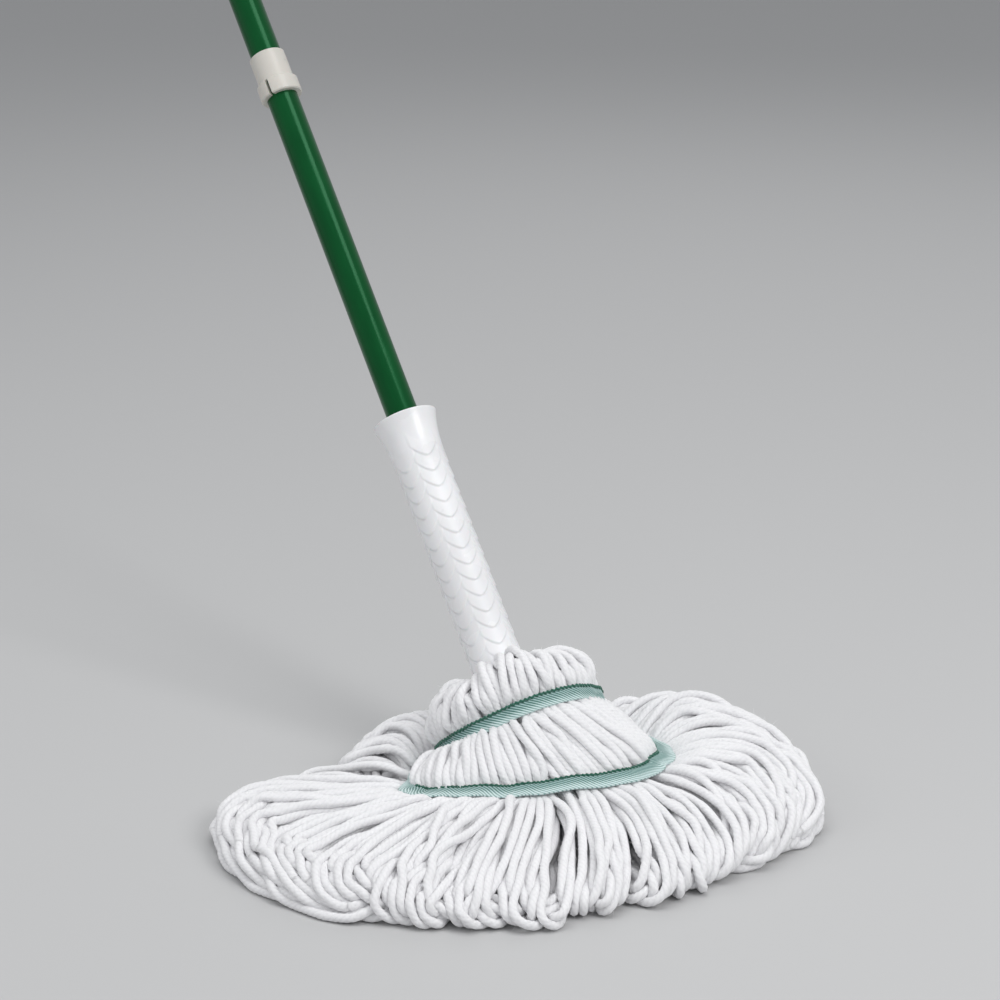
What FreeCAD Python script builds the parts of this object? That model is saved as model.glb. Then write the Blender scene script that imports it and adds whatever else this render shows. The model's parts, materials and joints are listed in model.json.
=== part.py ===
import FreeCAD, Part
import math
import os

# Self-wringing twist mop, standing on its yarn with the pole leaning as it does in use.
# Millimetres. The origin is where the pole's axis meets the floor, +Z is up, and the pole
# leans towards +Y. A piece on the pole is drawn upright, with its height measured along the
# pole from the floor, and is then leaned over by on_pole().

LEAN_DEG = 38.8                 # pole from the vertical

# Pole: thin steel tube, with a hub at its foot and a hanging cap at its top.
TUBE_R = 11.1
TUBE_WALL = 0.7
TUBE_FOOT = 33.0
TUBE_TOP = 1219.0
FIT = 0.05                      # radial gap of a running fit
GAP = 0.1                       # gap between pieces that are fixed together
CAP_R = 10.6
CAP_SHOULDER = 10.0
CAP_SPIGOT = 28.0
TONGUE_THICK = 8.0
TONGUE_WIDE = 17.0
TONGUE_EYE_UP = 20.0            # hanging hole above the tube's end
HANG_HOLE_R = 4.0

# Stop collar part way up the pole, with a split ring under it.
COLLAR_BOTTOM = 553.0
COLLAR_LENGTH = 22.0
COLLAR_R = 12.9
NECK_DEPTH = 0.4                # the tube is necked in under the collar, which so can't slide
RING_LENGTH = 12.0
RING_R = 15.0
RING_SLIT = 2.4
RING_SLIT_DEG = -147.6          # around the pole, from +X
PIN_R = 1.4
COLLAR_PIN_DEG = -60.0

# Hub at the foot of the pole, which holds the lower ends of the yarn.
PLUG_FLANGE = 2.0
PLUG_LENGTH = 30.0
SPOOL_BOTTOM = 31.0
SPOOL_TOP = 56.0
SPOOL_CORE_R = 12.8
SPOOL_FLANGE_R = 17.0
SPOOL_FLANGE = 2.5
HUB_CAP_BOTTOM = 27.0
WASHER_R = 8.0
WASHER_THICK = 1.0
SCREW_R = 2.0
SCREW_HEAD_R = 4.5
SCREW_HEAD = 2.6
SCREW_LENGTH = 22.0
CROSS_PIN_UP = 45.0
HUB_YARN_R = 17.6
WIRE_R = 0.8

# Wringer sleeve: slides up the pole to the stop collar, and turns to wring the yarn.
SLEEVE_FOOT = 62.0
SLEEVE_RIM = 285.0
SLEEVE_R = 18.0
SLEEVE_BORE_R = 16.0
MOUTH_R = 22.6
MOUTH_LENGTH = 32.0
MOUTH_WALL = 1.8
RIB = 2.0
RIB_R = 13.2
BUSH_LENGTH = 15.0
LOWER_BUSH_BOTTOM = 68.0
UPPER_BUSH_BOTTOM = 238.0
SEAT_LENGTH = 13.0
RETAINER = 2.5
FOOT_RING_TOP = 84.0
FOOT_RING_R = 20.2
FOOT_FLANGE_R = 24.0
FOOT_FLANGE = 3.0
FOOT_YARN_R = 23.6
RIVETS = 3
RIVET_R = 1.5
RIVET_UP = 80.0

# Yarn head. The ruff and the upper tape go round the pole's axis.
RUFF_BOTTOM = 53.0
RUFF_TOP = 100.0
RUFF_R = 60.0
RUFF_WAIST_R = 56.0
RUFF_BORE_R = 25.0
TAPE_THICK = 1.2
UPPER_TAPE_BOTTOM = 52.5
UPPER_TAPE_WIDE = 10.0
LOWER_TAPE_WIDE = 13.0

# The rest of the head lies as it fell. Its long way is turned from X, and these outlines
# are drawn along it and then turned: x to the right-hand lobe, y to the back.
HEAD_TURN_DEG = -33.7
LOWER_TAPE_OUTLINE = [(-92, -42), (-58, -56), (0, -60), (48, -46), (73, -4),
                      (64, 44), (26, 98), (-38, 110), (-80, 68), (-86, 12)]
LOWER_TAPE_Z = 21.5             # height of the tape's plane over the origin
LOWER_TAPE_FALL = 0.15          # the plane falls this much per mm to the back
LOWER_TAPE_RISE = 0.085          # and rises this much per mm to the right
FLOOR_OUTLINE = [(174, -4), (154, 62), (108, 114), (55, 140), (-10, 142), (-70, 118),
                 (-118, 74), (-142, 26), (-198, 2), (-218, -36), (-206, -92),
                 (-172, -144), (-112, -176), (-40, -190), (30, -178), (100, -140), (150, -78)]
SKIRT_LAYERS = [(0.0, 0.97), (14.0, 1.0), (34.0, 0.88), (48.0, 0.62)]   # height, share of outline
MIDDLE_TOP = 52.0               # where the middle yarn meets the ruff, along the pole
MIDDLE_TOP_SHARE = 0.64         # its top against its foot
MIDDLE_LENGTH = 52.0
MIDDLE_BORE_R = 28.0
HUB_CAVITY_R = 20.5
HUB_CAVITY_FOOT = 23.0
TRAVEL = 272.0                  # of the sleeve

X_AXIS = FreeCAD.Vector(1, 0, 0)
Z_AXIS = FreeCAD.Vector(0, 0, 1)
ORIGIN = FreeCAD.Vector(0, 0, 0)
POLE_DIR = FreeCAD.Vector(0, math.sin(math.radians(LEAN_DEG)), math.cos(math.radians(LEAN_DEG)))


def on_pole(shape):
    """Lean an upright piece over onto the pole's axis."""
    leaned = shape.copy()
    leaned.rotate(ORIGIN, X_AXIS, -LEAN_DEG)
    return leaned


def rod(radius, bottom, top):
    return Part.makeCylinder(radius, top - bottom, FreeCAD.Vector(0, 0, bottom))


def pipe(outer, inner, bottom, top):
    return rod(outer, bottom, top).cut(rod(inner, bottom - 1, top + 1))


def cross_rod(radius, near, far, up, angle_deg):
    """A short rod square to the pole, from radius near to radius far, at one angle round it."""
    direction = FreeCAD.Vector(math.cos(math.radians(angle_deg)), math.sin(math.radians(angle_deg)), 0)
    start = direction * near + Z_AXIS * up
    return Part.makeCylinder(radius, far - near, start, direction)


def revolve(points):
    """A closed profile of (radius, height) points, turned once round the Z axis."""
    corners = [FreeCAD.Vector(radius, 0, height) for radius, height in points]
    corners.append(corners[0])
    face = Part.Face(Part.makePolygon(corners))
    return face.revolve(ORIGIN, Z_AXIS, 360)


def inner_tube_r():
    return TUBE_R - TUBE_WALL


def cross_pin_hole():
    return cross_rod(PIN_R + GAP, 3, 30, CROSS_PIN_UP, 0)


def packed_yarn(inner, outer, bottom, top, wire_heights):
    """Yarn ends packed round a bobbin, with a groove where each wire pulls in."""
    wrap = pipe(outer, inner, bottom, top)
    for up in wire_heights:
        wrap = wrap.cut(pipe(outer + 2, outer - 2 * WIRE_R, up - WIRE_R - 0.2, up + WIRE_R + 0.2))
    return wrap


def tie_wires(yarn_r, wire_heights):
    rings = [Part.makeTorus(yarn_r - WIRE_R + 0.1, WIRE_R, Z_AXIS * up) for up in wire_heights]
    return Part.makeCompound(rings)


# Pole and cap


def handle_tube():
    neck_r = TUBE_R - NECK_DEPTH
    collar_top = COLLAR_BOTTOM + COLLAR_LENGTH
    tube = pipe(TUBE_R, inner_tube_r(), TUBE_FOOT, TUBE_TOP)
    tube = tube.cut(pipe(TUBE_R + 1, neck_r, COLLAR_BOTTOM, collar_top))
    tube = tube.fuse(pipe(inner_tube_r(), neck_r - TUBE_WALL, COLLAR_BOTTOM - 2, collar_top + 2))
    tube = tube.removeSplitter().cut(cross_pin_hole())
    return tube.cut(collar_pin_hole())


def collar_pin_hole():
    pin_up = COLLAR_BOTTOM + COLLAR_LENGTH / 2
    return cross_rod(PIN_R + GAP, -20, 20, pin_up, COLLAR_PIN_DEG)


def hang_cap():
    spigot = rod(inner_tube_r() - GAP, TUBE_TOP - CAP_SPIGOT, TUBE_TOP)
    shoulder = rod(CAP_R, TUBE_TOP, TUBE_TOP + CAP_SHOULDER)
    shoulder = shoulder.makeChamfer(1.2, [edge for edge in shoulder.Edges
                                          if edge.BoundBox.ZMin > TUBE_TOP + CAP_SHOULDER - 0.01])
    eye_z = TUBE_TOP + TONGUE_EYE_UP
    start = FreeCAD.Vector(-TONGUE_THICK / 2, 0, eye_z)
    eye = Part.makeCylinder(TONGUE_WIDE / 2, TONGUE_THICK, start, X_AXIS)
    web = Part.makeBox(TONGUE_THICK, TONGUE_WIDE, TONGUE_EYE_UP,
                       FreeCAD.Vector(-TONGUE_THICK / 2, -TONGUE_WIDE / 2, TUBE_TOP))
    hole = Part.makeCylinder(HANG_HOLE_R, 40, FreeCAD.Vector(-20, 0, eye_z), X_AXIS)
    return spigot.fuse([shoulder, web, eye]).cut(hole).removeSplitter()


# Stop collar


def stop_collar():
    bore = TUBE_R - NECK_DEPTH + FIT
    collar = pipe(COLLAR_R, bore, COLLAR_BOTTOM, COLLAR_BOTTOM + COLLAR_LENGTH)
    outer_rims = [edge for edge in collar.Edges if edge.BoundBox.XMax > COLLAR_R - 0.01
                  and edge.BoundBox.ZLength < 0.01]
    return collar.makeChamfer(0.5, outer_rims).cut(collar_pin_hole())


def split_ring():
    bottom = COLLAR_BOTTOM - RING_LENGTH
    ring = pipe(RING_R, TUBE_R + FIT, bottom, COLLAR_BOTTOM)
    outer_rims = [edge for edge in ring.Edges if edge.BoundBox.XMax > RING_R - 0.01
                  and edge.BoundBox.ZLength < 0.01]
    ring = ring.makeChamfer(0.8, outer_rims)
    slit = Part.makeBox(30, RING_SLIT, RING_LENGTH + 2, FreeCAD.Vector(0, -RING_SLIT / 2, bottom - 1))
    slit.rotate(ORIGIN, Z_AXIS, RING_SLIT_DEG)
    return ring.cut(slit)


def collar_pins():
    """Two short pins that hold the stop collar on the tube, one on each side."""
    pin_up = COLLAR_BOTTOM + COLLAR_LENGTH / 2
    near = inner_tube_r() - 0.8
    far = COLLAR_R - 0.1
    sides = [cross_rod(PIN_R, near, far, pin_up, COLLAR_PIN_DEG + turn) for turn in (0, 180)]
    return Part.makeCompound(sides)


# Hub at the pole's foot


def tip_plug():
    flange = rod(TUBE_R, TUBE_FOOT - PLUG_FLANGE, TUBE_FOOT)
    spigot = rod(inner_tube_r() - GAP, TUBE_FOOT - PLUG_FLANGE, TUBE_FOOT + PLUG_LENGTH)
    pilot = rod(SCREW_R + FIT, 0, HUB_CAP_BOTTOM + SCREW_LENGTH + 1)
    plug = flange.fuse(spigot).cut(pilot).removeSplitter()
    return plug.cut(cross_pin_hole())


def yarn_spool():
    """Flanged bobbin round the tube's foot. The ends of the yarn are tied round it."""
    bobbin = revolve([(TUBE_R + GAP, SPOOL_BOTTOM), (SPOOL_FLANGE_R, SPOOL_BOTTOM),
                      (SPOOL_FLANGE_R, SPOOL_BOTTOM + SPOOL_FLANGE),
                      (SPOOL_CORE_R, SPOOL_BOTTOM + SPOOL_FLANGE),
                      (SPOOL_CORE_R, SPOOL_TOP - SPOOL_FLANGE),
                      (SPOOL_FLANGE_R, SPOOL_TOP - SPOOL_FLANGE),
                      (SPOOL_FLANGE_R, SPOOL_TOP), (TUBE_R + GAP, SPOOL_TOP)])
    return bobbin.cut(cross_pin_hole())


def hub_cap():
    cap = rod(SPOOL_FLANGE_R, HUB_CAP_BOTTOM, SPOOL_BOTTOM)
    lower_rim = [edge for edge in cap.Edges if edge.BoundBox.ZMax < HUB_CAP_BOTTOM + 0.01]
    return cap.makeChamfer(1.5, lower_rim).cut(rod(SCREW_R + 0.3, 0, 60))


def hub_washer():
    return pipe(WASHER_R, SCREW_R + 0.3, HUB_CAP_BOTTOM - WASHER_THICK, HUB_CAP_BOTTOM)


def hub_screw():
    head_top = HUB_CAP_BOTTOM - WASHER_THICK
    head = Part.makeCone(SCREW_HEAD_R * 0.7, SCREW_HEAD_R, SCREW_HEAD,
                         FreeCAD.Vector(0, 0, head_top - SCREW_HEAD))
    slot_wide = 1.1
    slot = Part.makeBox(2 * SCREW_HEAD_R, slot_wide, 1.0,
                        FreeCAD.Vector(-SCREW_HEAD_R, -slot_wide / 2, head_top - SCREW_HEAD))
    shank = rod(SCREW_R, head_top - 0.5, head_top + SCREW_LENGTH)
    return head.cut(slot).fuse(shank).removeSplitter()


def hub_cross_pin():
    return cross_rod(PIN_R, 4, SPOOL_CORE_R - 0.2, CROSS_PIN_UP, 0)


def hub_wire_heights():
    middle = (SPOOL_BOTTOM + SPOOL_TOP) / 2
    return [middle - 4, middle + 4]


def hub_yarn():
    """The yarn's lower ends, packed between the flanges of the spool."""
    bottom = SPOOL_BOTTOM + SPOOL_FLANGE + 0.3
    top = SPOOL_TOP - SPOOL_FLANGE - 0.3
    return packed_yarn(SPOOL_CORE_R + 0.2, HUB_YARN_R, bottom, top, hub_wire_heights())


def hub_tie_wires():
    return tie_wires(HUB_YARN_R, hub_wire_heights())


# Sleeve and what turns or slides with it


def mouth_outline(offset, steps=8):
    """Points of the flared mouth, from the straight body up to the rim, less a wall."""
    points = []
    for step in range(steps + 1):
        share = step / steps
        radius = SLEEVE_R + (MOUTH_R - SLEEVE_R) * share ** 2.4 - offset
        points.append(FreeCAD.Vector(radius, 0, SLEEVE_RIM - MOUTH_LENGTH * (1 - share)))
    return points


def wringer_sleeve():
    outer_curve = mouth_outline(0)
    seat_top = UPPER_BUSH_BOTTOM + BUSH_LENGTH + SEAT_LENGTH + 0.4
    inner_curve = [point for point in mouth_outline(MOUTH_WALL) if point.z > seat_top + 2]
    outer = Part.BSplineCurve()
    outer.interpolate(outer_curve)
    inner = Part.BSplineCurve()
    inner.interpolate(list(reversed(inner_curve)))
    low_out = FreeCAD.Vector(SLEEVE_R, 0, SLEEVE_FOOT)
    low_in = FreeCAD.Vector(SLEEVE_BORE_R, 0, SLEEVE_FOOT)
    seat_edge = FreeCAD.Vector(SLEEVE_BORE_R, 0, seat_top)
    edges = [Part.makeLine(low_in, low_out),
             Part.makeLine(low_out, outer_curve[0]),
             outer.toShape(),
             Part.makeLine(outer_curve[-1], inner_curve[-1]),
             inner.toShape(),
             Part.makeLine(inner_curve[0], seat_edge),
             Part.makeLine(seat_edge, low_in)]
    shell = Part.Face(Part.Wire(edges)).revolve(ORIGIN, Z_AXIS, 360)
    lower_rib = pipe(SLEEVE_BORE_R + 0.5, RIB_R, LOWER_BUSH_BOTTOM + BUSH_LENGTH + 0.3,
                     LOWER_BUSH_BOTTOM + BUSH_LENGTH + 0.3 + RIB)
    upper_rib = pipe(SLEEVE_BORE_R + 0.5, RIB_R, UPPER_BUSH_BOTTOM - 0.3 - RIB, UPPER_BUSH_BOTTOM - 0.3)
    sleeve = shell.fuse([lower_rib, upper_rib]).removeSplitter()
    for rivet in foot_rivet_rods(RIVET_R + GAP, 10, 30):
        sleeve = sleeve.cut(rivet)
    return sleeve


def bush(bottom):
    """Plain plastic bush: the pole runs in it, and it runs in the sleeve."""
    return pipe(SLEEVE_BORE_R - FIT, TUBE_R + FIT, bottom, bottom + BUSH_LENGTH)


def mouth_seat():
    """Tapered ring in the mouth, which pushes onto the split ring at the top of the travel."""
    bottom = UPPER_BUSH_BOTTOM + BUSH_LENGTH + 0.3
    top = bottom + SEAT_LENGTH
    outer = SLEEVE_BORE_R - GAP
    return revolve([(RIB_R, bottom), (outer, bottom), (outer, top), (RING_R + 0.3, top)])


def bush_retainer():
    """Snap ring in the sleeve's foot, which keeps the lower bush in."""
    top = LOWER_BUSH_BOTTOM - 0.3
    return pipe(SLEEVE_BORE_R - GAP, RIB_R, top - RETAINER, top)


def foot_ring():
    """Flanged ring on the sleeve's foot. The upper ends of the yarn are tied round it."""
    ring = revolve([(SLEEVE_R + GAP, SLEEVE_FOOT), (FOOT_FLANGE_R, SLEEVE_FOOT),
                    (FOOT_FLANGE_R, SLEEVE_FOOT + FOOT_FLANGE),
                    (FOOT_RING_R, SLEEVE_FOOT + FOOT_FLANGE),
                    (FOOT_RING_R, FOOT_RING_TOP), (SLEEVE_R + GAP, FOOT_RING_TOP)])
    for rivet in foot_rivet_rods(RIVET_R + GAP, 10, 30):
        ring = ring.cut(rivet)
    return ring


def foot_rivet_rods(radius, near, far):
    return [cross_rod(radius, near, far, RIVET_UP, 30 + 360 / RIVETS * number) for number in range(RIVETS)]


def foot_rivets():
    return Part.makeCompound(foot_rivet_rods(RIVET_R, SLEEVE_BORE_R + 0.2, FOOT_RING_R - 0.1))


def foot_wire_heights():
    return [SLEEVE_FOOT + FOOT_FLANGE + 3, SLEEVE_FOOT + FOOT_FLANGE + 9]


def foot_yarn():
    """The yarn's upper ends, packed round the foot ring."""
    bottom = SLEEVE_FOOT + FOOT_FLANGE + 0.3
    return packed_yarn(FOOT_RING_R + 0.2, FOOT_YARN_R, bottom, RIVET_UP - 3, foot_wire_heights())


def foot_tie_wires():
    return tie_wires(FOOT_YARN_R, foot_wire_heights())


# Yarn and tapes


def yarn_ruff():
    """Collar of yarn that stands up round the sleeve and folds over at its top."""
    bore = SLEEVE_R + 0.4
    tape_top = UPPER_TAPE_BOTTOM + UPPER_TAPE_WIDE
    corners = [(RUFF_BORE_R, RUFF_BOTTOM), (RUFF_WAIST_R, RUFF_BOTTOM), (RUFF_WAIST_R, tape_top + 0.4),
               (RUFF_R, tape_top + 5), (RUFF_R, RUFF_TOP - 16), (RUFF_R - 4, RUFF_TOP - 7),
               (RUFF_R - 12, RUFF_TOP - 1), (38, RUFF_TOP), (27, RUFF_TOP - 3), (bore, RUFF_TOP - 9),
               (bore, FOOT_RING_TOP + 1), (RUFF_BORE_R, FOOT_RING_TOP - 2)]
    return revolve(corners)


def upper_tape():
    inner = RUFF_WAIST_R + 0.3
    return pipe(inner + TAPE_THICK, inner, UPPER_TAPE_BOTTOM, UPPER_TAPE_BOTTOM + UPPER_TAPE_WIDE)


def turn_head(x, y, z):
    """From the head's own long way to the row's X and Y."""
    turn = math.radians(HEAD_TURN_DEG)
    return FreeCAD.Vector(x * math.cos(turn) - y * math.sin(turn), x * math.sin(turn) + y * math.cos(turn), z)


def closed_curve(points):
    curve = Part.BSplineCurve()
    curve.interpolate(Points=points, PeriodicFlag=True)
    return Part.Wire(curve.toShape())


def tape_curve(scale, drop, up_pole=0):
    """The lower tape's outline in its tilted plane, scaled, dropped, or moved up the pole."""
    middle_x = sum(x for x, y in LOWER_TAPE_OUTLINE) / len(LOWER_TAPE_OUTLINE)
    middle_y = sum(y for x, y in LOWER_TAPE_OUTLINE) / len(LOWER_TAPE_OUTLINE)
    points = []
    for x, y in LOWER_TAPE_OUTLINE:
        along = middle_x + (x - middle_x) * scale
        back = middle_y + (y - middle_y) * scale
        height = LOWER_TAPE_Z - LOWER_TAPE_FALL * back + LOWER_TAPE_RISE * along
        flat = turn_head(along, back, height - drop)
        points.append(flat + POLE_DIR * up_pole)
    return closed_curve(points)


def tape_prism(scale, drop, length):
    """The space over the lower tape's outline, swept up along the pole."""
    return Part.Face(tape_curve(scale, drop)).extrude(POLE_DIR * length)


def lower_tape():
    ring = tape_prism(1.045, 0, LOWER_TAPE_WIDE / POLE_DIR.z)
    return ring.cut(tape_prism(1.02, 2, 2 * LOWER_TAPE_WIDE / POLE_DIR.z))


def yarn_middle():
    """The yarn between the two tapes, which slides up with the sleeve."""
    cone = Part.makeLoft([tape_curve(1.0, 0), tape_curve(MIDDLE_TOP_SHARE, 0, MIDDLE_LENGTH)], True, True)
    cone = cone.cut(on_pole(rod(MIDDLE_BORE_R, -60, 200)))
    return cone.cut(on_pole(rod(RUFF_R + 1.5, MIDDLE_TOP, 400)))


def yarn_skirt():
    """The yarn that lies spread on the floor, with room for the hub and for what slides up."""
    layers = []
    for height, share in SKIRT_LAYERS:
        layers.append(closed_curve([turn_head(x * share, y * share, height) for x, y in FLOOR_OUTLINE]))
    skirt = Part.makeLoft(layers, True, True)
    skirt = skirt.cut(tape_prism(1.08, 1.2, TRAVEL))
    skirt = skirt.cut(on_pole(rod(HUB_CAVITY_R, HUB_CAVITY_FOOT, TRAVEL)))
    skirt = skirt.cut(on_pole(rod(RUFF_WAIST_R + TAPE_THICK + 1, MIDDLE_TOP - 1, TRAVEL)))
    return skirt.cut(on_pole(rod(RUFF_R + 2, RUFF_BOTTOM + UPPER_TAPE_WIDE, TRAVEL)))


POLE_PIECES = {
    "handle_tube": handle_tube,
    "hang_cap": hang_cap,
    "stop_collar": stop_collar,
    "split_ring": split_ring,
    "collar_pins": collar_pins,
    "tip_plug": tip_plug,
    "yarn_spool": yarn_spool,
    "hub_cap": hub_cap,
    "hub_washer": hub_washer,
    "hub_screw": hub_screw,
    "hub_cross_pin": hub_cross_pin,
    "hub_yarn": hub_yarn,
    "hub_tie_wires": hub_tie_wires,
    "wringer_sleeve": wringer_sleeve,
    "lower_bush": lambda: bush(LOWER_BUSH_BOTTOM),
    "upper_bush": lambda: bush(UPPER_BUSH_BOTTOM),
    "mouth_seat": mouth_seat,
    "bush_retainer": bush_retainer,
    "foot_ring": foot_ring,
    "foot_rivets": foot_rivets,
    "foot_yarn": foot_yarn,
    "foot_tie_wires": foot_tie_wires,
    "yarn_ruff": yarn_ruff,
    "upper_tape": upper_tape,
}

HEAD_PIECES = {
    "yarn_middle": yarn_middle,
    "lower_tape": lower_tape,
    "yarn_skirt": yarn_skirt,
}


def main():
    os.makedirs("parts", exist_ok=True)
    shapes = {name: on_pole(make()) for name, make in POLE_PIECES.items()}
    shapes.update({name: make() for name, make in HEAD_PIECES.items()})
    for name, shape in shapes.items():
        shape.exportStep("parts/" + name + ".step")
        print(name, len(shape.Solids), round(shape.Volume), shape.isValid())


main()
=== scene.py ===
import json
import math

import bpy
import numpy as np
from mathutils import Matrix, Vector


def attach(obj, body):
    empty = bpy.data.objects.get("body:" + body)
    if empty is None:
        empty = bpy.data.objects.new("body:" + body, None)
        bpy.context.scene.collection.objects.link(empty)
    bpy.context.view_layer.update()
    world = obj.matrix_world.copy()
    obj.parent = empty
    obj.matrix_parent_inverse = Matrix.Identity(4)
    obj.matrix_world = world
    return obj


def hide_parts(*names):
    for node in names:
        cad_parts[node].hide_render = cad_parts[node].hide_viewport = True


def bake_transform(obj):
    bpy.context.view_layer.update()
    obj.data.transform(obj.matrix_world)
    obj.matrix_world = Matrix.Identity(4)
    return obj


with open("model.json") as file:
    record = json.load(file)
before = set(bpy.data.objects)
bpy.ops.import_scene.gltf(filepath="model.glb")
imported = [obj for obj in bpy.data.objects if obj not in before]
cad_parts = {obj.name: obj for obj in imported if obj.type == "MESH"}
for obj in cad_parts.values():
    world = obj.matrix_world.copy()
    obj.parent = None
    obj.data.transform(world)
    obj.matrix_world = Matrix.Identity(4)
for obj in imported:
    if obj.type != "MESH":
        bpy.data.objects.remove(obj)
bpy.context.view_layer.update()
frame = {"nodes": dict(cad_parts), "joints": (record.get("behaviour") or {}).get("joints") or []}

# ---------------------------------------------------------------- the frame's own directions
# Everything is in metres, in the row frame. The pole's axis passes through the origin.

MM = 0.001
SLIDE = next(joint for joint in frame["joints"] if joint["name"] == "sleeve_slide")
POLE = np.array(SLIDE["axis"], float)
ACROSS = np.array([1.0, 0.0, 0.0])
BEHIND = np.cross(POLE, ACROSS)             # square to the pole, towards +Y and down
HEAD_TURN = math.radians(-33.7)             # the head's long way, from +X

rng = np.random.default_rng(7)


def head(x, y, z):
    """From the head's own long way (x right, y back), in mm, to the row frame in metres."""
    cos, sin = math.cos(HEAD_TURN), math.sin(HEAD_TURN)
    return np.stack(np.broadcast_arrays(x * cos - y * sin, x * sin + y * cos, z), -1) * MM


def round_pole(radius, angle, up):
    """A point round the pole: radius and height along the pole in mm, angle in radians."""
    radius, angle, up = np.broadcast_arrays(radius, angle, up)
    radius, angle, up = radius[..., None], angle[..., None], up[..., None]
    return (POLE * up + (ACROSS * np.cos(angle) + BEHIND * np.sin(angle)) * radius) * MM


def unit(vectors):
    return vectors / np.linalg.norm(vectors, axis=-1, keepdims=True)


# ---------------------------------------------------------------- meshes


def mesh_from_arrays(name, points, faces, attributes=None):
    """A mesh from points and a list of face arrays, each with one corner count."""
    mesh = bpy.data.meshes.new(name)
    loops = np.concatenate([face.ravel() for face in faces]).astype(np.int32)
    sizes = np.concatenate([np.full(len(face), face.shape[1]) for face in faces])
    starts = np.concatenate([[0], np.cumsum(sizes)[:-1]]).astype(np.int32)
    mesh.vertices.add(len(points))
    mesh.vertices.foreach_set("co", points.astype(np.float32).ravel())
    mesh.loops.add(len(loops))
    mesh.loops.foreach_set("vertex_index", loops)
    mesh.polygons.add(len(sizes))
    mesh.polygons.foreach_set("loop_start", starts)
    return finish_mesh(name, mesh, attributes, sizes <= 4)


def finish_mesh(name, mesh, attributes, smooth):
    """Turn a mesh into an object. smooth says for each face whether it is shaded smooth."""
    mesh.update(calc_edges=True)
    mesh.polygons.foreach_set("use_smooth", smooth)
    for label, values in (attributes or {}).items():
        layer = mesh.attributes.new(label, "FLOAT", "POINT")
        layer.data.foreach_set("value", np.asarray(values, np.float32))
    obj = bpy.data.objects.new(name, mesh)
    bpy.context.scene.collection.objects.link(obj)
    return obj


def loop_grid(name, points, attributes=None):
    """A smooth mesh from a grid of points whose rows meet, and whose columns meet too."""
    rows, columns = points.shape[:2]
    row = np.arange(rows)[:, None]
    column = np.arange(columns)[None]
    next_row, next_column = (row + 1) % rows, (column + 1) % columns
    quads = np.stack([row * columns + column, row * columns + next_column,
                      next_row * columns + next_column, next_row * columns + column], -1)
    flat = {label: values.ravel() for label, values in (attributes or {}).items()}
    return mesh_from_arrays(name, points.reshape(-1, 3), [quads.reshape(-1, 4)], flat)


def tube_faces(rings, sides):
    """Quads between the rings of a tube, and a cap on each end."""
    row = np.arange(rings - 1)[:, None] * sides
    here = np.arange(sides)[None]
    beside = (here + 1) % sides
    quads = np.stack([row + here, row + beside, row + sides + beside, row + sides + here], -1)
    caps = np.stack([np.arange(sides)[::-1], (rings - 1) * sides + np.arange(sides)])
    return quads.reshape(-1, 4), caps


# ---------------------------------------------------------------- curves


def curve(points, samples, blend):
    """A dense curve from the first point to the last, with each four points in a row blended."""
    padded = np.vstack([2 * points[0] - points[1], points, 2 * points[-1] - points[-2]])
    t = np.linspace(0, 1, samples, endpoint=False)[:, None]
    fours = zip(padded[:-3], padded[1:-2], padded[2:-1], padded[3:])
    return np.vstack([blend(*four, t) for four in fours] + [points[-1:]])


def through_points(a, b, c, d, t):
    """Catmull-Rom weights: the curve passes through b and c."""
    return 0.5 * (2 * b + (c - a) * t + (2 * a - 5 * b + 4 * c - d) * t ** 2
                  + (3 * b - a - 3 * c + d) * t ** 3)


def near_points(a, b, c, d, t):
    """Cubic B-spline weights: a softer curve, which passes near b and c."""
    return (a * (1 - t) ** 3 + b * (3 * t ** 3 - 6 * t ** 2 + 4)
            + c * (-3 * t ** 3 + 3 * t ** 2 + 3 * t + 1) + d * t ** 3) / 6


def even_steps(dense, step):
    """A dense line cut into even steps of about the length asked for."""
    lengths = np.concatenate([[0], np.cumsum(np.linalg.norm(np.diff(dense, axis=0), axis=1))])
    count = max(4, int(round(lengths[-1] / step)) + 1)
    marks = np.linspace(0, lengths[-1], count)
    return np.stack([np.interp(marks, lengths, dense[:, axis]) for axis in range(3)], 1)


def smooth_path(points, step):
    return even_steps(curve(points, 24, through_points), step)


def closed_line(points, step):
    """A smooth closed curve through points, in even steps, without its first point again."""
    looped = np.vstack([points[-2:], points, points[:3]])
    dense = smooth_path(looped, step / 3)
    gaps = np.linalg.norm(dense - points[0], axis=1)
    half = len(dense) // 2 + 1
    first = np.argmin(gaps[:half])
    last = half + np.argmin(gaps[half:])
    return even_steps(dense[first:last + 1], step)[:-1]


def around(values, width):
    """Each row averaged with its neighbours round a closed loop, width rows each way."""
    return sum(np.roll(values, shift, 0) for shift in range(-width, width + 1)) / (2 * width + 1)


def resample_loop(rows, count):
    """The rows round a closed loop, blended into another count of rows."""
    looped = np.vstack([rows, rows[:1]])
    picks = np.linspace(0, len(rows), count, endpoint=False)
    return np.stack([np.interp(picks, np.arange(len(looped)), looped[:, axis]) for axis in range(3)], 1)


# ---------------------------------------------------------------- where the strands lie
# A strand starts inside the ruff, rises and folds over, runs down under both tapes, out over
# the floor, turns, and comes back under the others to the hub. Lengths are in mm.

YARN_R = 2.9
STEP = 4.2                       # between the points of a strand
LAYERS = 3
LAYER = 5.1                      # from one layer of yarn to the next
FLOOR_CLEAR = 1.08 * YARN_R

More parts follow.
